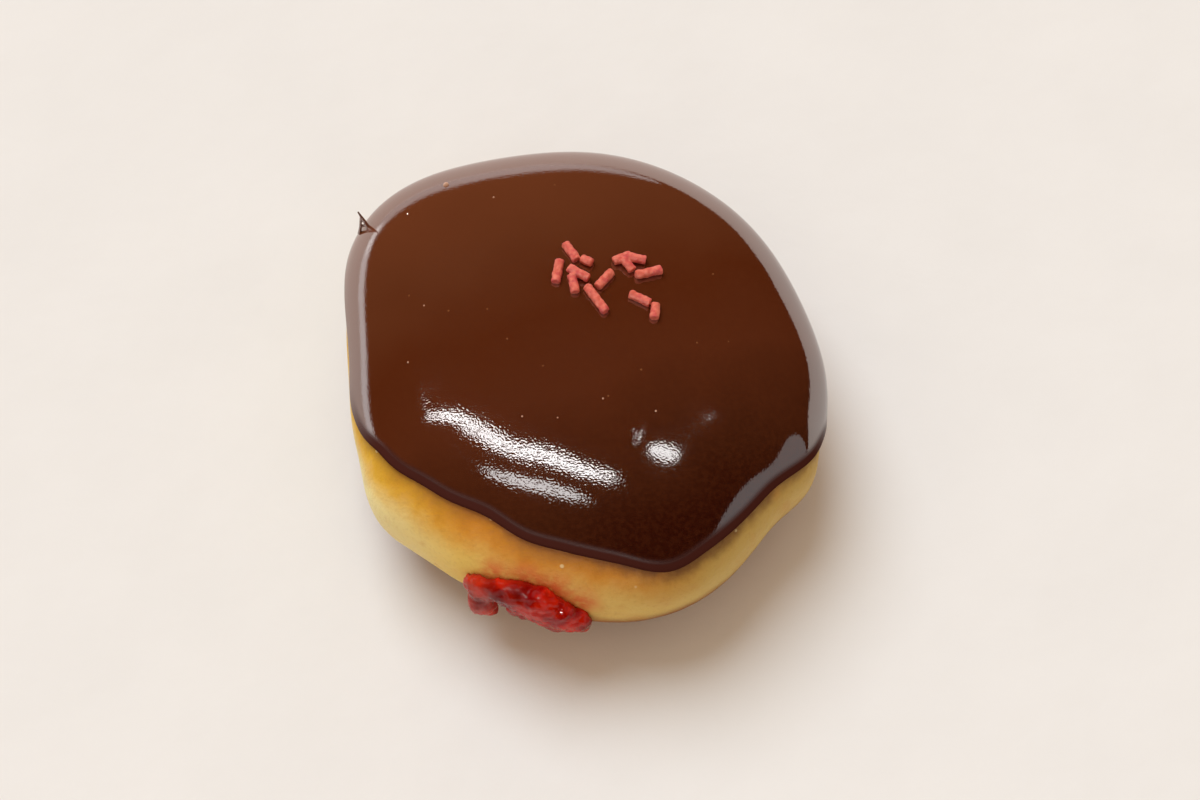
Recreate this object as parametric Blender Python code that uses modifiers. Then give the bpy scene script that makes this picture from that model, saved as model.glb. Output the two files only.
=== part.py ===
"""A filled doughnut: fried dough with raspberry filling leaking from its side, chocolate icing
over its top, and a pinch of sprinkles and a drawn-out wisp of chocolate fused to the icing.

Metres, +Z up. It rests on its flat base at z = 0, with the leak towards -Y.
"""

import bmesh
import bpy
from math import acos, asin, atan2, cos, exp, hypot, pi, radians, sin
from mathutils import Matrix, Vector

MM = 0.001

# Plan of the dough: a mean radius, and waves round it as (crests, height, direction of a crest in degrees).
MEAN_RADIUS = 47.6 * MM
OUTLINE_WAVES = (
    (1, 0.68 * MM, 118.3),
    (2, 2.84 * MM, -62.2),
    (3, 0.92 * MM, 19.2),
    (4, 0.72 * MM, 44.4),
    (5, 1.00 * MM, -2.1),
    (7, 0.38 * MM, -13.0),
)
# Two rounded corners of the plan, as (direction in degrees, height), and how wide they spread.
CORNERS = (
    (-27, 2.6 * MM),
    (-142, 2.16 * MM),
)
CORNER_SPREAD = radians(10)
MIDDLE = Vector((-1.1 * MM, 1.0 * MM, 0.0))

# Section of the dough: a domed top over its waist, and a rounded underside that meets a flat base.
WAIST_HEIGHT = 18.0 * MM
DOUGH_HEIGHT = 36.5 * MM
DOME_POWER = 2.4
BASE_SHARE = 0.62

# Touching solids keep this distance.
GAP = 0.3 * MM

# How finely the meshes are divided round and down.
CRUST_COLUMNS = 60
CRUST_RINGS = 28
ICING_RINGS = 36
POCKET_COLUMNS = 32
POCKET_RINGS = 16
CHANNEL_COLUMNS = 20
LUMP_COLUMNS = 14
LUMP_RINGS = 9
SPRINKLE_COLUMNS = 8

# Plain colours and roughness of the three materials.
DOUGH_FINISH = ((0.52, 0.27, 0.07), 0.7)
JAM_FINISH = ((0.36, 0.02, 0.008), 0.2)
ICING_FINISH = ((0.09, 0.025, 0.009), 0.25)
SHARP_ANGLE = radians(40)

# The icing, and where its edge lies round the dough as (direction in degrees, fall from the crown).
ICING_THICKNESS = 1.3 * MM
ICING_EDGE_THICKNESS = 0.9 * MM
ICING_EDGE = (
    (-180, 0.83),
    (-165, 0.835),
    (-158, 0.80),
    (-148, 0.70),
    (-138, 0.648),
    (-127, 0.638),
    (-115, 0.618),
    (-102, 0.655),
    (-92, 0.662),
    (-80, 0.69),
    (-69, 0.757),
    (-60, 0.75),
    (-45, 0.772),
    (-30, 0.80),
    (-21, 0.88),
    (-10, 1.02),
    (10, 1.06),
    (38, 0.94),
    (70, 0.99),
    (100, 0.92),
    (133, 0.97),
    (162, 0.86),
)

# Sprinkles: short sugar rods as (x and y from the middle, direction, length, rise of the far end, lift).
SPRINKLE_RADIUS = 0.88 * MM
SPRINKLE_SINK = 0.3 * MM
SPRINKLES = (
    (-1.1, 15.8, -60, 4.4, 0, 0.0),
    (1.8, 13.7, -32, 2.4, 10, 0.1),
    (-3.6, 11.5, -99, 5.0, 0, 0.0),
    (0.3, 10.6, -29, 4.4, -6, 0.7),
    (-0.6, 8.6, -78, 3.8, -8, 0.2),
    (5.1, 9.6, -128, 4.5, 0, 0.0),
    (3.6, 5.3, -57, 6.6, 0, 0.0),
    (8.3, 14.3, 22, 3.6, 8, 0.3),
    (10.6, 14.3, -4, 4.4, -8, 0.4),
    (9.4, 12.8, -50, 3.0, -12, 0.3),
    (13.2, 11.4, 18, 5.2, 0, 0.0),
    (11.6, 5.6, -28, 4.2, 0, 0.0),
    (14.3, 3.0, -94, 3.3, 0, 0.0),
)

# The wisp: thin strands of set chocolate as points (x, y, z) from the foot of the first one.
WISP_DIRECTION = 145
WISP_FALL = 0.77
STRAND_RADIUS = 0.24 * MM
STRANDS = (
    ((0.3, -0.2, -0.5), (-1.0, 0.6, 1.5), (-2.0, 1.2, 3.0), (-2.7, 1.8, 3.6)),
    ((-1.9, 1.1, 2.8), (-2.2, 0.6, 1.3), (-2.4, 0.1, -0.4), (-2.2, -0.4, -1.9)),
    ((-0.5, 0.3, 0.7), (-1.3, 0.3, 0.1), (-2.3, 0.2, -0.1)),
)

# The filling: a pocket in the middle of the dough, and the channel that the nozzle left to it.
# The channel's filling and the room cut for it run past the crust by their own overruns.
POCKET_HEIGHT = 18.5 * MM
POCKET_SIZE = (25.0 * MM, 23.0 * MM, 8.5 * MM)
CHANNEL_DIRECTION = -101
CHANNEL_HEIGHT = 16.0 * MM
CHANNEL_RADIUS = 3.4 * MM
CHANNEL_OVERRUN = 1.5 * MM
CHANNEL_ROOM_OVERRUN = 4.0 * MM

# What has leaked out, as lumps of (direction, fall, lift, half-sizes across, down and out),
# and how far they melt into one another.
LUMP_GRAIN = 0.9 * MM
LUMP_SMOOTHING = 4
LUMPS = (
    (-111.5, 0.99, 0.2, 3.8, 4.2, 1.8),
    (-111.5, 1.16, 1.2, 2.8, 3.2, 2.4),
    (-113.5, 1.27, 2.0, 1.2, 2.0, 1.5),
    (-110.0, 1.29, 1.8, 1.5, 1.8, 1.6),
    (-106.0, 0.95, 0.2, 4.0, 3.6, 1.8),
    (-101.5, 0.95, 0.4, 4.2, 4.6, 2.1),
    (-97.5, 0.96, 0.6, 4.4, 5.2, 2.4),
    (-93.5, 1.02, 0.7, 4.3, 5.2, 2.4),
    (-89.8, 1.07, 0.4, 3.0, 4.2, 1.9),
    (-88.0, 1.17, 0.4, 1.4, 1.8, 1.3),
)


def new_object(name, mesh, collection):
    """A new object that holds this mesh."""
    thing = bpy.data.objects.new(name, mesh)
    collection.objects.link(thing)
    return thing


def turn_between(azimuth, other):
    """The signed angle from one direction to another, the short way round."""
    return (azimuth - other + pi) % (2 * pi) - pi


def outline(azimuth):
    """Distance from the middle to the waist in this direction."""
    waves = sum(
        height * cos(crests * (azimuth - radians(direction)))
        for crests, height, direction in OUTLINE_WAVES
    )
    corners = sum(
        height * exp(-((turn_between(azimuth, radians(direction)) / CORNER_SPREAD) ** 2))
        for direction, height in CORNERS
    )
    return MEAN_RADIUS + waves + corners


def bare_point(azimuth, fall):
    """A point of the crust. fall is 0 at the crown, 1 at the waist, 2 at the base's rim, 3 at its middle."""
    turn = fall * pi / 2
    if fall <= 1:
        spread = sin(turn)
        dome = max(0.0, 1 - spread**DOME_POWER) ** (1 / DOME_POWER)
        height = WAIST_HEIGHT + (DOUGH_HEIGHT - WAIST_HEIGHT) * dome
    elif fall <= 2:
        spread = BASE_SHARE + (1 - BASE_SHARE) * sin(turn)
        height = WAIST_HEIGHT * (1 + cos(turn))
    else:
        spread = BASE_SHARE * (3 - fall)
        height = 0.0
    reach = outline(azimuth) * spread
    return MIDDLE + Vector((reach * cos(azimuth), reach * sin(azimuth), height))


def crust_frame(azimuth, fall):
    """Unit vectors across, down and out of the crust at a point."""
    step = 0.002
    fall = max(fall, step)
    across = bare_point(azimuth + step, fall) - bare_point(azimuth - step, fall)
    if fall > 2 - step:
        out = Vector((0, 0, -1))
    else:
        down = bare_point(azimuth, fall + step) - bare_point(azimuth, fall - step)
        out = down.cross(across).normalized()
    across = across.normalized()
    return across, out.cross(across), out


def crust_point(azimuth, fall, lift):
    """A point at a height of lift over the crust."""
    if fall < 1e-6:
        return bare_point(azimuth, 0) + Vector((0, 0, lift))
    return bare_point(azimuth, fall) + lift * crust_frame(azimuth, fall)[2]


def length_of_fall(azimuth, fall):
    """How far along the crust one unit of fall reaches, at this point."""
    step = 0.01
    return (bare_point(azimuth, fall + step) - bare_point(azimuth, fall - step)).length / (2 * step)


def wrapped_sphere(name, columns, rings, place):
    """A closed mesh: a sphere's points moved to place(azimuth, share), with share 0 at its top and 1 below."""
    ball = bmesh.new()
    bmesh.ops.create_uvsphere(ball, u_segments=columns, v_segments=rings, radius=1)
    for vertex in ball.verts:
        share = acos(max(-1.0, min(1.0, vertex.co.z))) / pi
        vertex.co = place(atan2(vertex.co.y, vertex.co.x), share)
    bmesh.ops.recalc_face_normals(ball, faces=ball.faces)
    mesh = bpy.data.meshes.new(name)
    ball.to_mesh(mesh)
    ball.free()
    return mesh


def dough_mesh(name, lift):
    """The whole dough, with its surface moved out by lift."""
    rim_share = 1 - 2 / CRUST_RINGS

    def place(azimuth, share):
        if share < rim_share:
            return crust_point(azimuth, 2 * share / rim_share, lift)
        return crust_point(azimuth, 2 + (share - rim_share) / (1 - rim_share), lift)

    return wrapped_sphere(name, CRUST_COLUMNS, CRUST_RINGS, place)


def station_slope(stations, at):
    """The slope of a smooth curve through the stations, at one of them."""
    before, here, after = stations[at - 1 : at + 2]
    width_before = here[0] - before[0]
    width_after = after[0] - here[0]
    slope_before = (here[1] - before[1]) / width_before
    slope_after = (after[1] - here[1]) / width_after
    return (slope_before * width_after + slope_after * width_before) / (width_before + width_after)


def icing_edge(azimuth):
    """The fall at which the icing ends in this direction: a smooth curve through its stations."""
    direction = (azimuth / radians(1) + 180) % 360 - 180
    earlier = tuple((turn - 360, fall) for turn, fall in ICING_EDGE[-2:])
    later = tuple((turn + 360, fall) for turn, fall in ICING_EDGE[:3])
    stations = earlier + ICING_EDGE + later
    at = max(number for number, station in enumerate(stations[:-2]) if station[0] <= direction)
    (start, low), (end, high) = stations[at : at + 2]
    width = end - start
    t = (direction - start) / width
    low_slope = station_slope(stations, at) * width
    high_slope = station_slope(stations, at + 1) * width
    rise = low * (1 + 2 * t) * (1 - t) ** 2 + high * t**2 * (3 - 2 * t)
    return rise + low_slope * t * (1 - t) ** 2 + high_slope * t**2 * (t - 1)


def icing_depth(reach):
    """The icing's thickness, from the crown at reach 0 to its edge at reach 1."""
    return ICING_THICKNESS + (ICING_EDGE_THICKNESS - ICING_THICKNESS) * reach**2


def icing_mesh(name):
    """A shell over the dome: outer face, half-round edge, and inner face back to the crown."""
    outer_share = 0.5
    inner_share = 0.58

    def place(azimuth, share):
        edge = icing_edge(azimuth)
        bulge = ICING_EDGE_THICKNESS / 2 / length_of_fall(azimuth, edge)
        if share <= outer_share:
            reach = share / outer_share
            return crust_point(azimuth, (edge - bulge) * reach, GAP + icing_depth(reach))
        if share >= inner_share:
            return crust_point(azimuth, (edge - bulge) * (1 - share) / (1 - inner_share), GAP)
        turn = pi * (share - outer_share) / (inner_share - outer_share)
        lift = GAP + ICING_EDGE_THICKNESS * (1 + cos(turn)) / 2
        return crust_point(azimuth, edge - bulge + bulge * sin(turn), lift)

    return wrapped_sphere(name, CRUST_COLUMNS, ICING_RINGS, place)


def frame_matrix(x_axis, y_axis, z_axis, place):
    """The matrix that puts a shape made at the origin on these axes at this place."""
    axes = Matrix((x_axis, y_axis, z_axis)).transposed().to_4x4()
    return Matrix.Translation(place) @ axes


def sprinkle(number, x, y, direction, length, rise, lift, collection):
    """One sugar rod, lying a little sunk in the icing."""
    reach = hypot(x, y) * MM
    azimuth = atan2(y, x)
    fall = asin(reach / outline(azimuth)) * 2 / pi
    icing = icing_depth(fall / icing_edge(azimuth))
    height = GAP + icing + SPRINKLE_RADIUS - SPRINKLE_SINK + lift * MM
    out = crust_frame(azimuth, fall)[2]
    along = Vector((cos(radians(direction)), sin(radians(direction)), 0))
    side = out.cross(along).normalized()
    along = Matrix.Rotation(-radians(rise), 3, side) @ side.cross(out)
    place = frame_matrix(side, along.cross(side), along, crust_point(azimuth, fall, height))
    rod = bmesh.new()
    bmesh.ops.create_cone(
        rod,
        cap_ends=True,
        segments=SPRINKLE_COLUMNS,
        radius1=SPRINKLE_RADIUS,
        radius2=SPRINKLE_RADIUS,
        depth=length * MM,
        matrix=place,
    )
    name = "sprinkle_" + str(number)
    mesh = bpy.data.meshes.new(name)
    rod.to_mesh(mesh)
    rod.free()
    new_object(name, mesh, collection)


def strand(number, stations, collection):
    """One thin strand of chocolate, as a closed mesh tube."""
    name = "strand_" + str(number)
    path = bpy.data.curves.new(name, "CURVE")
    path.dimensions = "3D"
    path.bevel_depth = STRAND_RADIUS
    path.bevel_resolution = 1
    path.use_fill_caps = True
    spline = path.splines.new("POLY")
    spline.points.add(len(stations) - 1)
    foot = crust_point(radians(WISP_DIRECTION), WISP_FALL, GAP + ICING_EDGE_THICKNESS)
    for point, station in zip(spline.points, stations):
        point.co = (foot + Vector(station) * MM).to_4d()
    guide = new_object(name + "_guide", path, collection)
    graph = bpy.context.evaluated_depsgraph_get()
    mesh = bpy.data.meshes.new_from_object(guide.evaluated_get(graph))
    bpy.data.objects.remove(guide)
    tube = bmesh.new()
    tube.from_mesh(mesh)
    bmesh.ops.remove_doubles(tube, verts=tube.verts, dist=0.01 * MM)
    bmesh.ops.recalc_face_normals(tube, faces=tube.faces)
    tube.to_mesh(mesh)
    tube.free()
    new_object(name, mesh, collection)


def lump(number, direction, fall, lift, across_size, down_size, out_size, collection):
    """One lump of the leaked filling, as a squashed ball on the crust."""
    across, down, out = crust_frame(radians(direction), fall)
    place = frame_matrix(across, down, out, crust_point(radians(direction), fall, GAP + lift * MM))
    size = Matrix.Diagonal((across_size * MM, down_size * MM, out_size * MM, 1))
    ball = bmesh.new()
    bmesh.ops.create_uvsphere(
        ball,
        u_segments=LUMP_COLUMNS,
        v_segments=LUMP_RINGS,
        radius=1,
        matrix=place @ size,
    )
    bmesh.ops.recalc_face_normals(ball, faces=ball.faces)
    name = "lump_" + str(number)
    mesh = bpy.data.meshes.new(name)
    ball.to_mesh(mesh)
    ball.free()
    return new_object(name, mesh, collection)


def pocket_mesh(name, grow):
    """The filling in the middle of the dough, with its surface moved out by grow."""
    width, depth, height = (size + grow for size in POCKET_SIZE)

    def place(azimuth, share):
        spread = sin(pi * share)
        middle = MIDDLE + Vector((0, 0, POCKET_HEIGHT))
        return middle + Vector(
            (width * spread * cos(azimuth), depth * spread * sin(azimuth), height * cos(pi * share))
        )

    return wrapped_sphere(name, POCKET_COLUMNS, POCKET_RINGS, place)


def channel_mesh(name, grow, overrun):
    """The round channel from the pocket out through the crust, to this far past it."""
    azimuth = radians(CHANNEL_DIRECTION)
    outward = Vector((cos(azimuth), sin(azimuth), 0))
    inner_reach = POCKET_SIZE[1] / 2
    outer_reach = outline(azimuth) + overrun
    up = Vector((0, 0, 1))
    middle = MIDDLE + up * CHANNEL_HEIGHT + outward * (inner_reach + outer_reach) / 2
    rod = bmesh.new()
    bmesh.ops.create_cone(
        rod,
        cap_ends=True,
        segments=CHANNEL_COLUMNS,
        radius1=CHANNEL_RADIUS + grow,
        radius2=CHANNEL_RADIUS + grow,
        depth=outer_reach - inner_reach,
        matrix=frame_matrix(up.cross(outward), up, outward, middle),
    )
    bmesh.ops.recalc_face_normals(rod, faces=rod.faces)
    mesh = bpy.data.meshes.new(name)
    rod.to_mesh(mesh)
    rod.free()
    return mesh


def boolean(thing, operation, others):
    """Gives a thing a Boolean with one other object, or with all the objects of a collection."""
    modifier = thing.modifiers.new(operation.lower(), "BOOLEAN")
    modifier.operation = operation
    if isinstance(others, bpy.types.Collection):
        modifier.operand_type = "COLLECTION"
        modifier.collection = others
    else:
        modifier.object = others


def melt(thing):
    """Gives a thing the modifiers that turn joined lumps into one soft shape."""
    remesh = thing.modifiers.new("melt", "REMESH")
    remesh.mode = "VOXEL"
    remesh.voxel_size = LUMP_GRAIN
    smooth = thing.modifiers.new("soften", "SMOOTH")
    smooth.factor = 0.5
    smooth.iterations = LUMP_SMOOTHING


def settle(thing):
    """Makes a thing's modifiers part of its mesh."""
    graph = bpy.context.evaluated_depsgraph_get()
    mesh = bpy.data.meshes.new_from_object(thing.evaluated_get(graph))
    thing.modifiers.clear()
    thing.data = mesh


def clear_collection(collection):
    """Removes a collection of helpers with its objects."""
    for thing in list(collection.objects):
        bpy.data.objects.remove(thing)
    bpy.data.collections.remove(collection)


def new_collection(name):
    """A new collection in the scene."""
    collection = bpy.data.collections.new(name)
    bpy.context.scene.collection.children.link(collection)
    return collection


def finish(thing, color, roughness):
    """Gives a thing its own plain material and smooth shading."""
    material = bpy.data.materials.new(thing.name)
    material.use_nodes = True
    shader = material.node_tree.nodes["Principled BSDF"]
    shader.inputs["Base Color"].default_value = (*color, 1)
    shader.inputs["Roughness"].default_value = roughness
    shader.inputs["Metallic"].default_value = 0
    thing.data.materials.clear()
    thing.data.materials.append(material)
    thing.data.shade_smooth()
    thing.data.set_sharp_from_angle(angle=SHARP_ANGLE)


def make_dough(part, cutters):
    """Fried dough, hollowed for the filling. The hollow opens through the channel at its side."""
    dough = new_object("dough", dough_mesh("dough", 0), part)
    room = new_object("filling_room", pocket_mesh("filling_room", GAP), cutters)
    channel_room_mesh = channel_mesh("channel_room", GAP, CHANNEL_ROOM_OVERRUN)
    channel_room = new_object("channel_room", channel_room_mesh, cutters)
    boolean(room, "UNION", channel_room)
    settle(room)
    bpy.data.objects.remove(channel_room)
    room.hide_render = True
    room.display_type = "WIRE"
    boolean(dough, "DIFFERENCE", room)
    finish(dough, *DOUGH_FINISH)


def make_jam(part):
    """Raspberry filling: the pocket, its channel, and what has leaked out over the flank."""
    lumps = new_collection("lumps")
    first, *others = [lump(number, *sizes, lumps) for number, sizes in enumerate(LUMPS)]
    lumps.objects.unlink(first)
    part.objects.link(first)
    boolean(first, "UNION", lumps)
    melt(first)
    settle(first)
    clear_collection(lumps)
    skin = new_object("skin", dough_mesh("skin", GAP), part)
    boolean(first, "DIFFERENCE", skin)
    settle(first)
    bpy.data.objects.remove(skin)

    joined = new_collection("joined")
    jam = new_object("jam", pocket_mesh("jam", 0), part)
    new_object("channel", channel_mesh("channel", 0, CHANNEL_OVERRUN), joined)
    part.objects.unlink(first)
    joined.objects.link(first)
    boolean(jam, "UNION", joined)
    settle(jam)
    clear_collection(joined)
    finish(jam, *JAM_FINISH)


def make_icing(part):
    """Chocolate icing, with the sprinkles and the wisp fused to it."""
    icing = new_object("icing", icing_mesh("icing"), part)
    toppings = new_collection("toppings")
    for number, place in enumerate(SPRINKLES):
        sprinkle(number, *place, toppings)
    for number, stations in enumerate(STRANDS):
        strand(number, stations, toppings)
    boolean(icing, "UNION", toppings)
    settle(icing)
    clear_collection(toppings)
    finish(icing, *ICING_FINISH)


for old in list(bpy.data.objects):
    bpy.data.objects.remove(old)
doughnut = new_collection("chocolate_raspberry_doughnut")
helpers = new_collection("cutters")
make_dough(doughnut, helpers)
make_jam(doughnut)
make_icing(doughnut)
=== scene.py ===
from math import cos, pi, radians, sin

import bpy
import numpy as np
from mathutils import Matrix, Vector, noise


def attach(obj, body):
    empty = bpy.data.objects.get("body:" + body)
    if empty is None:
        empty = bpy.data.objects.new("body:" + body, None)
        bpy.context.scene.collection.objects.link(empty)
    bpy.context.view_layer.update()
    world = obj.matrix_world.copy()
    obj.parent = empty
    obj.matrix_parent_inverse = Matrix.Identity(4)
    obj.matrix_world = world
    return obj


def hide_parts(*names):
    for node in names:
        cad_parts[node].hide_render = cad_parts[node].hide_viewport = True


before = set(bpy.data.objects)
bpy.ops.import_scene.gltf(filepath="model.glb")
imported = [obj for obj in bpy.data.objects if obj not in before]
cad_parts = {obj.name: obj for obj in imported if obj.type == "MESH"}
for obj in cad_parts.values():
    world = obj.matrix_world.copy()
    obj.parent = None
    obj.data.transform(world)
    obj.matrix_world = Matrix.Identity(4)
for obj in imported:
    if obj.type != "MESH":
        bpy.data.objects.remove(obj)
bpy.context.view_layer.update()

# The dough: a ball of yeast dough that slumped into a soft cushion as it proved, and was fried on one
# side and then the other. The fat browned its two faces, and the waist, which floated clear of the
# fat, stayed a pale ring. It is shaped as a ball whose points move out to the crust.
MM = 0.001
RAMP_SPAN = 100  # mm that a ramp of colours covers, half of them on each side of 0
MEAN_RADIUS = 47.6 * MM
OUTLINE_WAVES = (  # crests, height, direction of a crest in degrees
    (1, 0.68 * MM, 118.3),
    (2, 2.84 * MM, -62.2),
    (3, 0.92 * MM, 19.2),
    (4, 0.72 * MM, 44.4),
    (5, 1.00 * MM, -2.1),
    (7, 0.38 * MM, -13.0),
)
CORNERS = ((-27, 2.6 * MM), (-142, 2.16 * MM))  # direction in degrees, height
CORNER_SPREAD = 10  # degrees
MIDDLE = np.array((-1.1 * MM, 1.0 * MM, 0.0))
WAIST_HEIGHT = 18.0 * MM
DOUGH_HEIGHT = 36.5 * MM
DOME_POWER = 2.4  # 2 would be half an ellipse, and more is flatter on top
BASE_SHARE = 0.62  # width of the flat base as a share of the waist's
UNDERSIDE_SHARE = 0.1  # share of the ball that becomes the flat base
CRUST_COLUMNS = 330
CRUST_RINGS = 150
PUCKERS = ((11.0 * MM, 0.22 * MM), (3.2 * MM, 0.05 * MM))  # width, depth
PUCKER_FADE = 5.0 * MM


def outline(azimuth):
    """Distance from the middle to the waist in these directions."""
    reach = MEAN_RADIUS + np.zeros_like(azimuth)
    for crests, height, direction in OUTLINE_WAVES:
        reach = reach + height * np.cos(crests * (azimuth - radians(direction)))
    for direction, height in CORNERS:
        off = (np.degrees(azimuth) - direction + 180) % 360 - 180
        reach = reach + height * np.exp(-((off / CORNER_SPREAD) ** 2))
    return reach


def bare_crust(azimuth, fall):
    """Points of the crust. fall is 0 at the crown, 1 at the waist, 2 at the base's rim, 3 at its middle."""
    turn = fall * pi / 2
    dome = np.maximum(0, 1 - np.abs(np.sin(turn)) ** DOME_POWER) ** (1 / DOME_POWER)
    below = BASE_SHARE + (1 - BASE_SHARE) * np.sin(turn)
    spread = np.select([fall <= 1, fall <= 2], [np.sin(turn), below], BASE_SHARE * (3 - fall))
    upper = WAIST_HEIGHT + (DOUGH_HEIGHT - WAIST_HEIGHT) * dome
    lower = WAIST_HEIGHT * (1 + np.cos(turn))
    height = np.select([fall <= 1, fall <= 2], [upper, lower], 0.0)
    reach = outline(azimuth) * spread
    return MIDDLE + np.stack([reach * np.cos(azimuth), reach * np.sin(azimuth), height], -1)


def crust_axes(azimuth, fall):
    """Unit vectors across, down and out of the crust."""
    step = 0.002
    level = np.clip(fall, step, 2 - step)
    across = bare_crust(azimuth + step, level) - bare_crust(azimuth - step, level)
    down = bare_crust(azimuth, level + step) - bare_crust(azimuth, level - step)
    out = np.cross(down, across)
    out = out / np.linalg.norm(out, axis=-1, keepdims=True)
    out = np.where((fall > 2 - step)[..., None], (0, 0, -1), out)
    across = across / np.linalg.norm(across, axis=-1, keepdims=True)
    return across, np.cross(out, across), out


def crust(azimuth, fall, lift, puckered=1.0):
    """Points at a height of lift over the crust, which is puckered all over but for its flat base."""
    azimuth, fall = np.broadcast_arrays(np.asarray(azimuth, float), np.asarray(fall, float))
    points = bare_crust(azimuth, fall)
    pucker = np.zeros(points.shape[:-1])
    for width, depth in PUCKERS:
        waves = [noise.noise(Vector(point) / width) for point in points.reshape(-1, 3)]
        pucker = pucker + depth * np.array(waves).reshape(pucker.shape)
    pucker = pucker * puckered * np.clip(points[..., 2] / PUCKER_FADE, 0, 1)
    return points + (lift + pucker)[..., None] * crust_axes(azimuth, fall)[2]


def deselect_all():
    """Clears the selection, so that the next operator acts on its own piece alone."""
    bpy.ops.object.select_all(action="DESELECT")


def mark(piece, name, values):
    """Stores a value at each point of a piece, for its material to read."""
    layer = piece.data.attributes.new(name, "FLOAT", "POINT")
    layer.data.foreach_set("value", values)


def points_of(piece):
    """The places of a piece's points, one row each."""
    points = np.empty(len(piece.data.vertices) * 3)
    piece.data.vertices.foreach_get("co", points)
    return points.reshape(-1, 3)


def wrapped_ball(name, columns, rings, place):
    """A ball whose points move to place(azimuth, share), where share is 0 at its top and 1 at its foot."""
    deselect_all()
    bpy.ops.mesh.primitive_uv_sphere_add(segments=columns, ring_count=rings, radius=1)
    piece = bpy.context.object
    piece.name = name
    x, y, z = points_of(piece).T
    share = np.arccos(np.clip(z, -1, 1)) / pi
    piece.data.vertices.foreach_set("co", place(np.arctan2(y, x), share).ravel())
    mark(piece, "share", share)
    bpy.ops.object.mode_set(mode="EDIT")
    bpy.ops.mesh.select_all(action="SELECT")
    bpy.ops.mesh.normals_make_consistent(inside=False)
    bpy.ops.object.mode_set(mode="OBJECT")
    bpy.ops.object.shade_smooth()
    return piece


def shape(piece, kind, **settings):
    """Gives a piece a modifier with these settings and applies it."""
    bpy.context.view_layer.objects.active = piece
    modifier = piece.modifiers.new(kind.lower(), kind)
    for name, value in settings.items():
        setattr(modifier, name, value)
    bpy.ops.object.modifier_apply(modifier=modifier.name)


def tint(red, green, blue):
    """A colour as the eye reads it, from 0 to 255, as the shader's own numbers."""
    shares = [value / 255 for value in (red, green, blue)]
    return (*[s / 12.92 if s <= 0.04045 else ((s + 0.055) / 1.055) ** 2.4 for s in shares], 1)


class Value:
    """A shader node's output. Arithmetic on it adds the Math nodes."""

    def __init__(self, finish, output):
        self.finish = finish
        self.output = output

    def __add__(self, other):
        return self.finish.math("ADD", self, other)

    def __radd__(self, other):
        return self.finish.math("ADD", other, self)

    def __sub__(self, other):
        return self.finish.math("SUBTRACT", self, other)

    def __rsub__(self, other):
        return self.finish.math("SUBTRACT", other, self)

    def __mul__(self, other):
        return self.finish.math("MULTIPLY", self, other)

    def __truediv__(self, other):
        return self.finish.math("DIVIDE", self, other)


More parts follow.
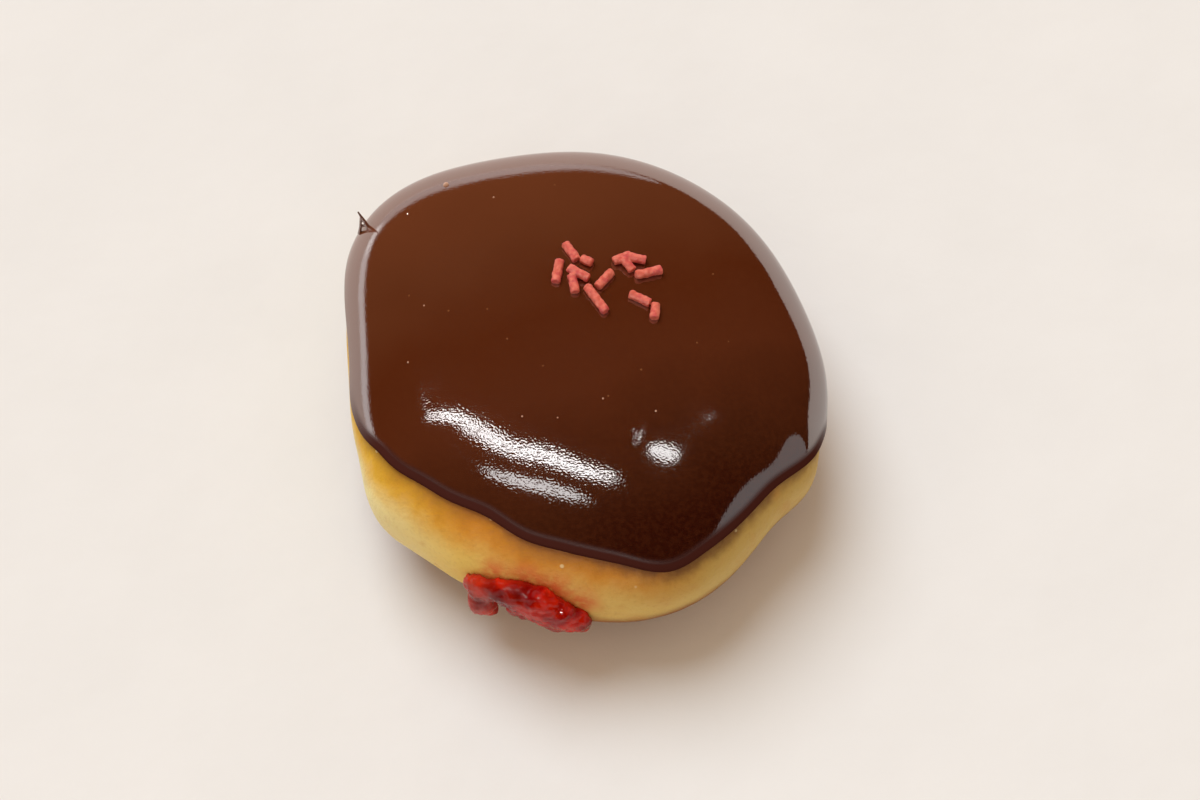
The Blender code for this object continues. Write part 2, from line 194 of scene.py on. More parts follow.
class Finish:
    """A material whose nodes are added one expression at a time."""

    def __init__(self, name, **constants):
        self.material = bpy.data.materials.new(name)
        self.material.use_nodes = True
        self.tree = self.material.node_tree
        self.shader = self.tree.nodes["Principled BSDF"]
        for socket, value in constants.items():
            self.shader.inputs[socket.replace("_", " ")].default_value = value
        self.place = self.add("ShaderNodeTexCoord", output="Object")

    def add(self, kind, settings=None, inputs=None, output=0):
        """Adds a node: its settings first, then the values or links of its sockets."""
        node = self.tree.nodes.new(kind)
        for name, value in (settings or {}).items():
            if name == "stops":
                self.set_stops(node.color_ramp, value)
            else:
                setattr(node, name, value)
        for socket, value in (inputs or {}).items():
            if isinstance(value, Value):
                self.tree.links.new(value.output, node.inputs[socket])
            else:
                node.inputs[socket].default_value = value
        return Value(self, node.outputs[output])

    def set_stops(self, ramp, stops):
        """Sets a colour ramp's stops as (position, colour)."""
        while len(ramp.elements) < len(stops):
            ramp.elements.new(1)
        for element, (position, color) in zip(ramp.elements, stops):
            element.position = position
            element.color = color

    def math(self, operation, first, second):
        """A Math node on two values."""
        return self.add("ShaderNodeMath", {"operation": operation}, {0: first, 1: second})

    def cloud(self, width, detail=3):
        """Soft noise from 0 to 1 whose blotches are this wide."""
        inputs = {"Vector": self.place, "Scale": 1 / width, "Detail": detail}
        return self.add("ShaderNodeTexNoise", inputs=inputs)

    def along(self, axis):
        """How far each point lies along X, Y or Z, in mm."""
        return self.add("ShaderNodeSeparateXYZ", inputs={0: self.place}, output=axis) / MM

    def measure(self, operation, vector):
        """Each point's DISTANCE from the tip of a vector, or its DOT_PRODUCT with it."""
        inputs = {0: self.place, 1: vector}
        return self.add("ShaderNodeVectorMath", {"operation": operation}, inputs, "Value")

    def read(self, name):
        """A value that the piece's points were marked with."""
        return self.add("ShaderNodeAttribute", {"attribute_name": name}, output="Fac")

    def between(self, value, low, high):
        """0 where a value is at low and 1 where it is at high, eased in between."""
        inputs = {"Value": value, "From Min": low, "From Max": high}
        return self.add("ShaderNodeMapRange", {"interpolation_type": "SMOOTHSTEP"}, inputs)

    def blend(self, share, first, second):
        """One colour where the share is 0 and the other where it is 1."""
        inputs = {"Factor": share, 6: first, 7: second}
        return self.add("ShaderNodeMix", {"data_type": "RGBA"}, inputs, 2)

    def patches(self, width, detail, start, full):
        """Soft patches of this width: 0 where their noise is at start and 1 where it is at full."""
        return self.between(self.cloud(width, detail), start, full)

    def cover(self, base, color, where, share):
        """A colour that is covered by this share of another where the mask is 1."""
        return self.blend(where * share, base, color)

    def ramp(self, value, rows):
        """A colour that changes with a value in mm. Each row holds a value and its colour."""
        stops = [(stop / RAMP_SPAN + 0.5, color) for stop, color in rows]
        return self.add("ShaderNodeValToRGB", {"stops": stops}, {"Fac": value / RAMP_SPAN + 0.5})

    def near(self, centre, reach):
        """1 at a place that is given in mm, and 0 at this distance from it."""
        return 1 - self.between(self.measure("DISTANCE", Vector(centre) * MM), 0.0, reach)

    def specks(self, spacing, size):
        """1 inside small round specks that lie this far apart."""
        inputs = {"Vector": self.place, "Scale": 1 / spacing}
        distance = self.add("ShaderNodeTexVoronoi", inputs=inputs, output="Distance")
        return 1 - self.between(distance, size / spacing * 0.5, size / spacing)

    def roughen(self, least, gain, width):
        """A roughness that rises from the least by up to the gain, in soft patches of this width."""
        self.feed("Roughness", least + self.cloud(width) * gain)

    def relief(self, height, depth):
        """Bumps the surface by a height from 0 to 1 that stands for this depth."""
        inputs = {"Height": height, "Distance": depth, "Strength": 1.0}
        self.feed("Normal", self.add("ShaderNodeBump", inputs=inputs))

    def feed(self, socket, value):
        """Links a value to the shader."""
        self.tree.links.new(value.output, self.shader.inputs[socket])

    def turn_matt(self, share, color):
        """Takes the shine off where the share is 1, and leaves this colour there."""
        matt = self.add("ShaderNodeBsdfDiffuse", inputs={"Color": color})
        shiny = Value(self, self.shader.outputs["BSDF"])
        mixed = self.add("ShaderNodeMixShader", inputs={0: share, 1: shiny, 2: matt})
        self.tree.links.new(mixed.output, self.tree.nodes["Material Output"].inputs["Surface"])

    def put_on(self, piece):
        """Makes this the piece's only material."""
        piece.data.materials.clear()
        piece.data.materials.append(self.material)


def place_crust(azimuth, share):
    """The whole crust, from the crown down to the rim of the base and in to its middle."""
    rim = 1 - UNDERSIDE_SHARE
    fall = np.where(share < rim, 2 * share / rim, 2 + (share - rim) / UNDERSIDE_SHARE)
    return crust(azimuth, fall, 0.0)


fried_dough = wrapped_ball("fried_dough", CRUST_COLUMNS, CRUST_RINGS, place_crust)

# The dough darkens and dulls towards the right: partly its own crust, partly painted shade on the side away
# from the light.
PALE_ROUND = (  # mm to the right of the middle, colour
    (-41, tint(242, 228, 168)),
    (-22, tint(234, 198, 100)),
    (5, tint(222, 188, 104)),
    (24, tint(206, 177, 104)),
)
GOLD_ROUND = (
    (-41, tint(220, 168, 42)),
    (-30, tint(216, 156, 24)),
    (-20, tint(208, 132, 8)),
    (6, tint(202, 130, 12)),
    (24, tint(192, 159, 80)),
)
UNDERSIDE = tint(146, 90, 42)
SHADE = tint(104, 56, 22)
BLOTCH = tint(190, 118, 40)
PORE = tint(150, 96, 44)
FLOUR_FLECK = tint(250, 232, 180)
JUICE = tint(212, 76, 18)
WIDE_WANDER = 6  # mm that the bounds between the colours stray
FINE_WANDER = 4
TOP_WANDER = 0.6  # share of this straying that the gold and the shade show
UNDER_WANDER = 0.4  # and that the brown shows
GOLD_BOUNDS = (7.2, 1.2)  # mm below the icing's edge, from no gold to full gold
SHADE_BOUNDS = (2.6, -0.6)  # the same for the shade under the icing's edge
SHADE_SHARE = 0.42
SHADE_GAIN = 0.4  # what the shade gains on the right
BROWN_BOUNDS = (18.2, 13)  # mm over the paper, from no brown to full brown
BROWN_DROP = 6  # mm that the brown's bounds lie lower on the left
STAINS = (  # places in mm where juice has soaked in
    (-16, -42.9, 23.6),
    (-10, -44, 24.4),
    (-5, -45.6, 23.8),
    (0, -47.2, 21.8),
)
STAIN_REACH = 5 * MM
bread = Finish(
    "fried_dough",
    Specular_IOR_Level=0.2,
    Subsurface_Weight=0.12,
    Subsurface_Radius=(0.004, 0.002, 0.001),
    Subsurface_Scale=1.0,
)
rightward = bread.along("X")
wide_wander = (bread.cloud(width=14 * MM) - 0.5) * WIDE_WANDER
wander = wide_wander + (bread.cloud(width=2.5 * MM) - 0.5) * FINE_WANDER
below = bread.read("below_icing") + wander * TOP_WANDER
pale = bread.ramp(rightward, PALE_ROUND)
gold = bread.ramp(rightward, GOLD_ROUND)
golden = bread.blend(bread.between(below, *GOLD_BOUNDS), pale, gold)
raised = bread.along("Z") + bread.between(rightward, 0, -25) * BROWN_DROP
brown_share = bread.between(raised + wander * UNDER_WANDER, *BROWN_BOUNDS)
browned_under = bread.blend(brown_share, golden, UNDERSIDE)
depth_of_shade = SHADE_SHARE + bread.between(rightward, 0, 8) * SHADE_GAIN
shaded = bread.blend(bread.between(below, *SHADE_BOUNDS) * depth_of_shade, browned_under, SHADE)
blotches = bread.patches(width=5 * MM, detail=6, start=0.52, full=0.75)
blotched = bread.cover(shaded, BLOTCH, blotches, share=0.3)
pores = bread.patches(width=0.7 * MM, detail=4, start=0.5, full=0.75)
pored = bread.cover(blotched, PORE, pores, share=0.12)
flecks = bread.specks(spacing=5.5 * MM, size=0.55 * MM)
flecked = bread.cover(pored, FLOUR_FLECK, flecks, share=0.55)
stains = sum(bread.near(spot, STAIN_REACH) for spot in STAINS)
soaked = stains * bread.patches(width=2 * MM, detail=3, start=0.1, full=0.6)
bread.feed("Base Color", bread.cover(flecked, JUICE, soaked, share=0.85))
bread.roughen(least=0.42, gain=0.3, width=4 * MM)
wrinkles = bread.cloud(width=1.1 * MM, detail=5) * 0.6
skin = wrinkles + bread.cloud(width=0.35 * MM, detail=2) * 0.2 + flecks * 0.3
bread.relief(skin, depth=0.32 * MM)
bread.put_on(fried_dough)
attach(fried_dough, "root")
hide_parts("dough")

# The filling: raspberry jam, pumped into the middle through a nozzle pushed into the side. It has
# welled out of the nozzle's channel and set as a wet arch of pulp on the flank. It starts from the
# solid of the frame, is rounded and lumped, and the dough is hollowed round it.
JAM_SEAM = 0.005 * MM
JAM_GRAIN = 0.34 * MM
JAM_SWELL = 0.3 * MM
PULP_LUMPS = ((3.4 * MM, 0.8 * MM), (1.2 * MM, 0.7 * MM))  # width, depth


def select_only(piece):
    """Makes a piece the only selected one, and the active one."""
    deselect_all()
    piece.select_set(True)
    bpy.context.view_layer.objects.active = piece


def weld(piece, distance):
    """Joins those points of a piece that lie within this distance of one another."""
    select_only(piece)
    bpy.ops.object.mode_set(mode="EDIT")
    bpy.ops.mesh.select_all(action="SELECT")
    bpy.ops.mesh.remove_doubles(threshold=distance)
    bpy.ops.object.mode_set(mode="OBJECT")


def lump(piece, name, width, depth):
    """Moves a piece's points in and out by soft noise whose lumps are this wide."""
    clouds = bpy.data.textures.new(name, "CLOUDS")
    clouds.noise_scale = width
    shape(piece, "DISPLACE", texture=clouds, texture_coords="LOCAL", strength=depth)


raspberry_filling = bpy.data.objects.new("raspberry_filling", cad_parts["jam"].data.copy())
bpy.context.collection.objects.link(raspberry_filling)
weld(raspberry_filling, JAM_SEAM)
shape(raspberry_filling, "REMESH", mode="VOXEL", voxel_size=JAM_GRAIN)
shape(raspberry_filling, "DISPLACE", strength=JAM_SWELL, mid_level=0.0)
shape(raspberry_filling, "SMOOTH", factor=0.5, iterations=4)
for lump_width, lump_depth in PULP_LUMPS:
    lump(raspberry_filling, "pulp", lump_width, lump_depth)
shape(raspberry_filling, "SMOOTH", factor=0.5, iterations=1)
bpy.ops.object.shade_smooth()
shape(fried_dough, "BOOLEAN", object=raspberry_filling, operation="DIFFERENCE", solver="MANIFOLD")

SHADED_HOLLOWS = (  # places in mm of hollows between the lumps of pulp, where shade is painted dark
    (-18.9, -45.4, 16.5),
    (-15.5, -46.3, 20.5),
    (-11.5, -46, 23.4),
    (1.8, -49, 16.2),
)
HOLLOW_SHADE_REACH = 4.2 * MM
PULP_BOUNDS = (-14, -20)  # mm to the right of the middle, from clear jelly to pulp
DARK_JELLY = tint(164, 10, 4)
BRIGHT_JELLY = tint(220, 38, 12)
PULP = tint(208, 76, 46)
PULP_SHARE = 0.4
HOLLOW_SHADE = tint(104, 10, 8)
jelly = Finish(
    "raspberry_jelly",
    IOR=1.34,
    Specular_IOR_Level=0.35,
    Transmission_Weight=0.3,
    Subsurface_Weight=0.25,
    Subsurface_Radius=(0.004, 0.0005, 0.0002),
    Subsurface_Scale=1.0,
)
pulpy_left = jelly.between(jelly.along("X"), *PULP_BOUNDS)
pulpy_spots = jelly.patches(width=2.2 * MM, detail=4, start=0.55, full=0.75)
bright_spots = jelly.patches(width=4 * MM, detail=3, start=0.4, full=0.6)
red = jelly.blend(bright_spots, DARK_JELLY, BRIGHT_JELLY)
pulpy = jelly.blend(pulpy_left * PULP_SHARE + pulpy_spots * PULP_SHARE, red, PULP)
hollow_shade = sum(jelly.near(spot, HOLLOW_SHADE_REACH) for spot in SHADED_HOLLOWS)
# Painted shade: the jam darkens in its hollows.
jelly.feed("Base Color", jelly.cover(pulpy, HOLLOW_SHADE, hollow_shade, share=0.85))
jelly.roughen(least=0.03, gain=0.05, width=1.5 * MM)
jelly.relief(jelly.cloud(width=1.2 * MM, detail=1), depth=0.22 * MM)
jelly.put_on(raspberry_filling)
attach(raspberry_filling, "root")
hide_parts("jam")

# The icing: warm chocolate icing that the top was dipped in. It set as a glossy skin about a
# millimetre thick, swelling gently over the dough, with a rounded lip and a few air bubbles.
ICING_LIFT = 0.3 * MM  # keeps the icing's face clear of the puckers in the crust
ICING_THICKNESS = 1.3 * MM
ICING_EDGE_THICKNESS = 0.9 * MM
ICING_EDGE = (  # direction in degrees, fall from the crown
    (-180, 0.83),
    (-165, 0.835),
    (-158, 0.80),
    (-148, 0.70),
    (-138, 0.648),
    (-127, 0.638),
    (-115, 0.618),
    (-102, 0.655),
    (-92, 0.662),
    (-80, 0.69),
    (-69, 0.757),
    (-60, 0.75),
    (-45, 0.772),
    (-30, 0.80),
    (-21, 0.88),
    (-10, 1.02),
    (10, 1.06),
    (38, 0.94),
    (70, 0.99),
    (100, 0.92),
    (133, 0.97),
    (162, 0.86),
)
ICING_COLUMNS = 330
ICING_RINGS = 190
OUTER_SHARE = 0.6  # share of the ball that becomes the icing's outer face
LIP_SHARE = 0.07  # share of it that becomes the rounded lip
SWELLS = ((17.0 * MM, 0.14 * MM), (7.0 * MM, 0.03 * MM))  # width, depth
SWELL_START = Vector((7, 3, 1))  # where in the noise the swells are read


def icing_edge(azimuth):
    """The fall at which the icing ends in these directions: a smooth curve through its stations."""
    rows = np.array(ICING_EDGE)
    turns, falls = np.concatenate([rows[-2:] - (360, 0), rows, rows[:3] + (360, 0)]).T
    slopes = np.gradient(falls, turns)
    direction = (np.degrees(azimuth) + 180) % 360 - 180
    start = np.clip(np.searchsorted(turns, direction, side="right") - 1, 1, len(turns) - 3)
    width = turns[start + 1] - turns[start]
    t = (direction - turns[start]) / width
    return (
        falls[start] * (1 + 2 * t) * (1 - t) ** 2
        + slopes[start] * width * t * (1 - t) ** 2
        + falls[start + 1] * t**2 * (3 - 2 * t)
        + slopes[start + 1] * width * t**2 * (t - 1)
    )


def icing_depth(reach):
    """The icing's thickness, from the crown at reach 0 to its edge at reach 1."""
    return ICING_THICKNESS + (ICING_EDGE_THICKNESS - ICING_THICKNESS) * reach**2


def swell(azimuth, fall, reach):
    """How far the icing's gentle swells stand out. They fade at its edge."""
    points = bare_crust(azimuth, fall)
    total = np.zeros(len(points))
    for width, depth in SWELLS:
        waves = [noise.noise(Vector(point) / width + SWELL_START) for point in points]
        total += depth * np.array(waves)
    return total * (1 - reach**6)


def place_icing(azimuth, share):
    """Over the dome, round the lip and back under to the crown."""
    edge = icing_edge(azimuth)
    lip = (ICING_LIFT + ICING_EDGE_THICKNESS) / 2
    step = 0.01
    span = bare_crust(azimuth, edge + step) - bare_crust(azimuth, edge - step)
    bulge = lip / (np.linalg.norm(span, axis=-1) / (2 * step))
    outer = np.clip(share / OUTER_SHARE, 0, 1)
    turn = pi * np.clip((share - OUTER_SHARE) / LIP_SHARE, 0, 1)
    inner = np.clip((1 - share) / (1 - OUTER_SHARE - LIP_SHARE), 0, 1)
    on_top = share <= OUTER_SHARE
    reach = np.where(on_top, outer, inner)
    fall = (edge - bulge) * reach + bulge * np.sin(turn)
    top = ICING_LIFT + icing_depth(outer) + swell(azimuth, fall, outer)
    lift = np.where(on_top, top, lip * (1 + np.cos(turn)))
    return crust(azimuth, fall, lift, puckered=(1 - np.cos(turn)) / 2)


chocolate_icing = wrapped_ball("chocolate_icing", ICING_COLUMNS, ICING_RINGS, place_icing)


def drop_below_icing(points):
    """How far points of the crust lie below the icing's edge, in mm."""
    x, y, height = (points - MIDDLE).T
    azimuth = np.arctan2(y, x)
    return (bare_crust(azimuth, icing_edge(azimuth))[:, 2] - height) / MM


mark(fried_dough, "below_icing", drop_below_icing(points_of(fried_dough)))

BUBBLES = (  # direction in degrees, fall, radius in mm
    (126, 0.622, 0.6),
    (139, 0.60, 0.2),
    (118, 0.47, 0.2),
    (168, 0.43, 0.3),
    (-170, 0.5, 0.2),
    (-118, 0.29, 0.2),
    (-100, 0.26, 0.22),
    (-72, 0.2, 0.2),
    (-50, 0.3, 0.2),
)
BUBBLE_SINK = 0.1 * MM


def icing_top(azimuth, fall):
    """Height of the icing's face over the crust at one place, without the swells."""
    return ICING_LIFT + icing_depth(fall / icing_edge(np.array([azimuth]))[0])


def add_bubble(direction, fall, radius):
    """A small ball that is sunk in the icing and becomes part of its mesh."""
    azimuth = radians(direction)
    deselect_all()
    bpy.ops.mesh.primitive_ico_sphere_add(
        subdivisions=3,
        radius=radius * MM,
        location=crust(azimuth, fall, icing_top(azimuth, fall) - BUBBLE_SINK),
    )
    ball = bpy.context.object
    bpy.ops.object.transform_apply(location=True, rotation=True, scale=True)
    bpy.ops.object.shade_smooth()
    mark(ball, "bubble", np.ones(len(ball.data.vertices)))
    chocolate_icing.select_set(True)
    bpy.context.view_layer.objects.active = chocolate_icing
    bpy.ops.object.join()


for bubble in BUBBLES:
    add_bubble(*bubble)

LIT_TO_SHADED = (  # how far towards the shaded front right in mm, colour: painted shade
    (-42, tint(111, 57, 31)),
    (-24, tint(101, 51, 27)),
    (-6, tint(89, 38, 15)),
    (10, tint(90, 41, 20)),
    (29, tint(68, 30, 14)),
    (41, tint(54, 17, 7)),
)
# the way in which painted shade darkens the icing: towards the front right, away from the light
SHADED_SIDE = (0.36, -0.93, 0.0)
DRIFT = 16  # mm that the bounds between the colours stray
LIP_SHADE = tint(72, 36, 34)
COCOA = tint(100, 50, 24)
PALE_SPECK = tint(150, 98, 60)
BUBBLE_HIGHLIGHT = tint(226, 176, 146)
MATT_LIP_SHADE = tint(68, 33, 27)
LIP_BOUNDS = (OUTER_SHARE * 0.93, OUTER_SHARE * 0.975)  # shares of the ball, from gloss to matt lip
LIP_FRONT = (-4, -20)  # mm towards the back: only in front is the lip matt and painted dark as shade
LIP_ROUGHNESS = 0.3
CALM_BOUNDS = (8, 13)  # mm to the right, from full ripples to calm icing
CALM_SHARE = 0.5  # what calm icing takes off the ripples
chocolate = Finish("chocolate_icing", IOR=2.6)
drift = (chocolate.cloud(width=16 * MM, detail=2) - 0.5) * DRIFT
brown = chocolate.ramp(chocolate.measure("DOT_PRODUCT", SHADED_SIDE) / MM + drift, LIT_TO_SHADED)
near_edge = chocolate.between(chocolate.read("share"), *LIP_BOUNDS)
lip = near_edge * chocolate.between(chocolate.along("Y"), *LIP_FRONT)
# Painted shade: the lip is darker and purplish in front.
lip_shaded = chocolate.cover(brown, LIP_SHADE, lip, share=0.6)
grain = chocolate.patches(width=0.8 * MM, detail=3, start=0.35, full=0.7)
grained = chocolate.cover(lip_shaded, COCOA, grain, share=0.2)
pale_specks = chocolate.specks(spacing=6.5 * MM, size=0.28 * MM)
specked = chocolate.cover(grained, PALE_SPECK, pale_specks, share=0.5)
# Painted highlight: the bubbles are pale pink as if they caught the light.
bubble_lit = chocolate.cover(specked, BUBBLE_HIGHLIGHT, chocolate.read("bubble"), share=0.8)
chocolate.feed("Base Color", bubble_lit)
gloss = 0.05 + chocolate.cloud(width=5 * MM) * 0.02
chocolate.feed("Roughness", gloss + lip * LIP_ROUGHNESS)
calm = chocolate.between(chocolate.along("X"), *CALM_BOUNDS) * CALM_SHARE
ripples = (chocolate.cloud(width=0.36 * MM, detail=0) - 0.5) * (1 - calm)
chocolate.relief(ripples, depth=0.012 * MM)
# In front the lip's shine gives way to a flat, dark colour: painted shade.
chocolate.turn_matt(lip, MATT_LIP_SHADE)
chocolate.put_on(chocolate_icing)
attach(chocolate_icing, "root")
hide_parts("icing")

# The wisp: a thread of icing drawn out as the doughnut was lifted from the bowl. It set standing on
# the shoulder as thin strands, which lean on one another.
WISP_DIRECTION = 145  # degrees
WISP_FALL = 0.77
STRAND_RADIUS = 0.3 * MM
STRANDS = (  # points from the foot in mm, with the strand's share of its full thickness there
    (
        (0.1, -0.2, -0.6, 2.0),
        (-0.3, 0.2, 0.5, 1.3),
        (-0.8, 0.6, 1.5, 1.2),
        (-1.5, 1.1, 2.8, 0.8),
        (-1.9, 1.5, 3.4, 0.6),
    ),
    (
        (-1.3, 1.0, 2.6, 1.0),
        (-1.5, 0.6, 1.3, 0.9),
        (-1.7, 0.1, -0.4, 1.0),
        (-2.0, -0.3, -1.7, 1.4),
    ),
    (
        (-0.5, 0.3, 0.7, 1.1),
        (-1.0, 0.3, 0.2, 0.9),
        (-1.7, 0.25, 0.1, 1.0),
    ),
)
WISP_SEAM = 0.01 * MM
WISP_GRAIN = 0.1 * MM


def draw_strand(path, foot, stations):
    """Adds a smooth thread to a path. Its stations are measured from the foot in mm."""
    spline = path.splines.new("NURBS")
    spline.points.add(len(stations) - 1)
    spline.order_u = 3
    spline.use_endpoint_u = True
    for point, (*from_foot, share) in zip(spline.points, stations):
        point.co = (*(foot + np.array(from_foot) * MM), 1)
        point.radius = share


strands = bpy.data.curves.new("chocolate_wisp", "CURVE")
strands.dimensions = "3D"
strands.bevel_depth = STRAND_RADIUS
strands.bevel_resolution = 3
strands.use_fill_caps = True
wisp_foot = crust(radians(WISP_DIRECTION), WISP_FALL, ICING_LIFT + ICING_EDGE_THICKNESS)
for strand in STRANDS:
    draw_strand(strands, wisp_foot, strand)
chocolate_wisp = bpy.data.objects.new("chocolate_wisp", strands)
bpy.context.collection.objects.link(chocolate_wisp)
select_only(chocolate_wisp)
bpy.ops.object.convert(target="MESH")
weld(chocolate_wisp, WISP_SEAM)
shape(chocolate_wisp, "REMESH", mode="VOXEL", voxel_size=WISP_GRAIN)
shape(chocolate_wisp, "SMOOTH", factor=0.5, iterations=4)
bpy.ops.object.shade_smooth()
chocolate.put_on(chocolate_wisp)
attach(chocolate_wisp, "root")
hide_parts("icing")

# The sprinkles: short rods of pressed pink sugar, thrown on while the icing was wet, so that each
# lies a little sunk in it. Their ends are snapped off and slightly rounded.
SPRINKLE_RADIUS = 0.88 * MM
SPRINKLE_SINK = 0.3 * MM
SPRINKLE_SIDES = 20
SPRINKLE_ROUNDING = 0.25 * MM
SUGAR_GRAIN = 0.11 * MM
SUGAR_LUMPS = (0.9 * MM, 0.35 * MM)  # width, depth
SPRINKLES = (  # x and y from the middle, direction, length, rise of the far end, lift; mm and degrees
    (-1.1, 15.8, -60, 4.4, 0, 0.0),
    (1.8, 13.7, -32, 2.4, 10, 0.1),
    (-3.6, 11.5, -99, 5.0, 0, 0.0),
    (0.3, 10.6, -29, 4.4, -6, 0.7),
    (-0.6, 8.6, -78, 3.8, -8, 0.2),
    (5.1, 9.6, -128, 4.5, 0, 0.0),
    (3.6, 5.3, -57, 6.6, 0, 0.0),
    (8.3, 14.3, 22, 3.6, 8, 0.3),
    (10.6, 14.3, -4, 4.4, -8, 0.4),
    (9.4, 12.8, -50, 3.0, -12, 0.3),
    (13.2, 11.4, 18, 5.2, 0, 0.0),
    (11.6, 5.6, -28, 4.2, 0, 0.0),
    (14.3, 3.0, -94, 3.3, 0, 0.0),
)


def lay_sprinkle(x, y, direction, length, rise, lift):
    """One sugar rod on the icing, turned and tipped as it fell."""
    azimuth = np.arctan2(y, x)
    fall = np.arcsin(np.hypot(x, y) * MM / outline(azimuth)) * 2 / pi
    height = icing_top(azimuth, fall) + SPRINKLE_RADIUS - SPRINKLE_SINK + lift * MM
    out = Vector(crust_axes(azimuth, fall)[2])
    along = Vector((cos(radians(direction)), sin(radians(direction)), 0))
    side = out.cross(along).normalized()
    along = Matrix.Rotation(-radians(rise), 3, side) @ side.cross(out)
    turned = Matrix((side, along.cross(side), along)).transposed()
    deselect_all()
    bpy.ops.mesh.primitive_cylinder_add(
        vertices=SPRINKLE_SIDES,
        radius=SPRINKLE_RADIUS,
        depth=length * MM,
        location=crust(azimuth, fall, height),
        rotation=turned.to_euler(),
    )
    rod = bpy.context.object
    bpy.ops.object.transform_apply(location=True, rotation=True, scale=True)
    shape(rod, "BEVEL", width=SPRINKLE_ROUNDING, segments=4, limit_method="ANGLE")
    return rod


rods = [lay_sprinkle(*row) for row in SPRINKLES]
deselect_all()
for rod in rods:
    rod.select_set(True)
sprinkles = rods[0]
bpy.context.view_layer.objects.active = sprinkles
bpy.ops.object.join()
sprinkles.name = "sprinkles"
shape(sprinkles, "REMESH", mode="VOXEL", voxel_size=SUGAR_GRAIN)
lump(sprinkles, "sugar", *SUGAR_LUMPS)
shape(sprinkles, "SMOOTH", factor=0.5, iterations=2)
bpy.ops.object.shade_smooth()

ROSE = tint(208, 82, 80)
CORAL = tint(210, 94, 74)
CHALK = tint(234, 124, 104)
sugar = Finish(
    "pink_sugar",
    Subsurface_Weight=0.2,
    Subsurface_Radius=(0.002, 0.0008, 0.0006),
    Subsurface_Scale=1.0,
)
chalky = sugar.patches(width=0.9 * MM, detail=4, start=0.35, full=0.7)
dyed = sugar.blend(sugar.patches(width=4 * MM, detail=3, start=0.4, full=0.6), ROSE, CORAL)
sugar.feed("Base Color", sugar.blend(chalky, dyed, CHALK))
sugar.roughen(least=0.42, gain=0.25, width=0.6 * MM)
sugar.relief(sugar.cloud(width=0.3 * MM, detail=3), depth=0.06 * MM)
sugar.put_on(sprinkles)
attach(sprinkles, "root")
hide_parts("icing")

# The stage: pale paper under the doughnut, in a room whose ceiling tubes, bright walls and windows show
# only where they are mirrored. Soft daylight falls from behind on the left and warm light from all
# round, and the camera looks steeply down.
FLOOR_SIZE = 8.0
DARK_FIBRE = tint(229, 225, 221)
PALE_FIBRE = tint(236, 232, 228)
deselect_all()
bpy.ops.mesh.primitive_plane_add(size=FLOOR_SIZE)
floor = bpy.context.object
floor.name = "floor"
paper = Finish("paper", Roughness=0.8)
fibres = paper.cloud(width=30 * MM, detail=5)
paper.feed("Base Color", paper.blend(fibres, DARK_FIBRE, PALE_FIBRE))
paper.relief(paper.cloud(width=9 * MM, detail=4), depth=0.2 * MM)
paper.put_on(floor)

TUBE_HEIGHT = 1.0
LAMP_POWER = 4  # watts for a square metre of a lamp's frame, when its brightness is 1
TUBES = (  # name, ends in plan in metres, width, brightness
    ("end_tube", (-0.81, 0.365), (-0.54, 0.25), 0.038, 3.6),
    ("far_tube", (-0.66, 0.33), (-0.27, 0.06), 0.058, 3.6),
    ("near_tube", (-0.38, 0.06), (0.07, -0.047), 0.046, 4),
    ("short_tube", (-0.41, -0.11), (-0.08, -0.195), 0.066, 1.8),
    ("side_tube", (0.25, 0.118), (0.415, 0.09), 0.05, 2.7),
    ("spot", (0.183, 0.18), (0.197, 0.18), 0.016, 13),
)


def hang_lamp(name, place, away, size, width, turn, brightness):
    """An oval lamp that shows only in gloss. Its back faces away, its long side lies at the angle turn."""
    lamp = bpy.data.lights.new(name, "AREA")
    lamp.shape = "ELLIPSE"
    lamp.size = size
    lamp.size_y = width
    lamp.energy = brightness * size * width * LAMP_POWER
    hung = bpy.data.objects.new(name, lamp)
    hung.visible_diffuse = False
    bpy.context.collection.objects.link(hung)
    along = Vector((cos(turn), sin(turn), 0))
    across = away.cross(along).normalized()
    axes = Matrix((across.cross(away), across, away)).transposed().to_4x4()
    hung.matrix_world = Matrix.Translation(place) @ axes


def hang_tube(name, start, end, width, brightness):
    """A lamp under the ceiling that shines down and reaches from one place to another."""
    run = Vector(end) - Vector(start)
    middle = (Vector(start) + Vector(end)) / 2
    place = Vector((*middle, TUBE_HEIGHT))
    turn = np.arctan2(run.y, run.x)
    hang_lamp(name, place, Vector((0, 0, 1)), run.length, width, turn, brightness)


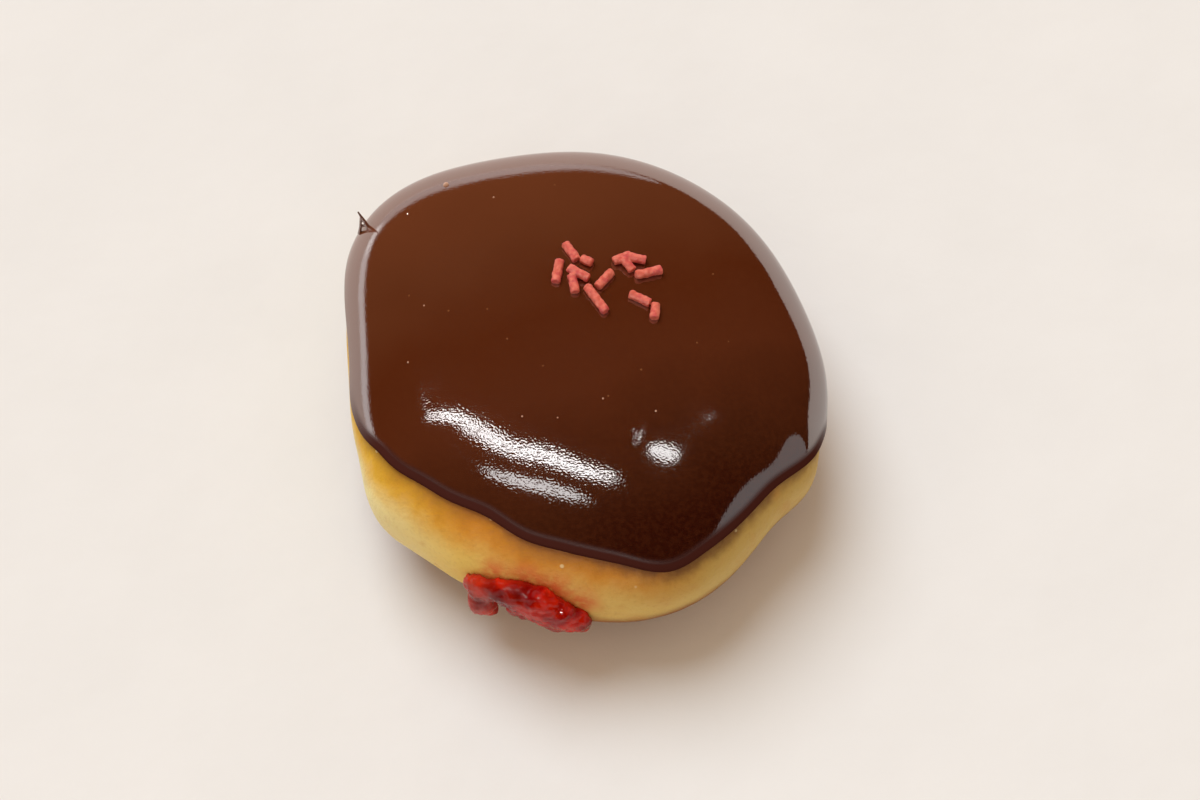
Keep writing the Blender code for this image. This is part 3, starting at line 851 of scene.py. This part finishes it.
def stand_wall(name, middle, length, height, brightness):
    """An upright lamp that shines in towards the doughnut."""
    away = Vector((*middle[:2], 0)).normalized()
    turn = np.arctan2(away.x, -away.y)
    hang_lamp(name, Vector(middle), away, length, height, turn, brightness)


for tube in TUBES:
    hang_tube(*tube)

WALLS = (  # name, middle in metres, length, height, brightness
    ("left_wall", (-2.6, 0.9, 0.19), 3.6, 0.43, 0.84),
    ("back_wall", (-0.9, 2.6, 0.2), 3.6, 0.44, 0.5),
    ("right_wall", (1.9, -0.4, 0.62), 1.6, 1.3, 0.24),
    ("front_window", (-0.1, -1.3, 0.75), 0.17, 0.14, 90),
    ("left_window", (-0.84, -0.98, 0.72), 0.17, 0.14, 90),
)
for wall in WALLS:
    stand_wall(*wall)

SUN_POWER = 2.66
SUN_SPREAD = radians(42)
SUN_COLOR = (0.73, 0.84, 0.95)
SUN_SIDE = Vector((-0.34, 0.5, 0.95))
ROOM_COLOR = (1.0, 0.79, 0.58, 1)
ROOM_STRENGTH = 0.58

daylight = bpy.data.lights.new("daylight", "SUN")
daylight.energy = SUN_POWER
daylight.angle = SUN_SPREAD
daylight.color = SUN_COLOR
sun = bpy.data.objects.new("daylight", daylight)
bpy.context.collection.objects.link(sun)
sun.rotation_euler = SUN_SIDE.to_track_quat("Z", "Y").to_euler()
sun.visible_glossy = False

world = bpy.data.worlds.new("room")
world.use_nodes = True
room_light = world.node_tree.nodes["Background"]
room_light.inputs["Color"].default_value = ROOM_COLOR
room_light.inputs["Strength"].default_value = ROOM_STRENGTH
world.cycles_visibility.glossy = False
bpy.context.scene.world = world
bpy.context.scene.view_settings.view_transform = "Standard"

ELEVATION = radians(62)
DISTANCE = 0.38
LENS = 59.28
SENSOR_WIDTH = 36
LOOK_AT = Vector((3.22 * MM, -3.64 * MM, 17.53 * MM))
camera = bpy.data.cameras.new("camera")
camera.lens = LENS
camera.sensor_width = SENSOR_WIDTH
viewer = bpy.data.objects.new("camera", camera)
bpy.context.collection.objects.link(viewer)
viewer.location = LOOK_AT + DISTANCE * Vector((0, -cos(ELEVATION), sin(ELEVATION)))
viewer.rotation_euler = (pi / 2 - ELEVATION, 0, 0)
bpy.context.scene.camera = viewer
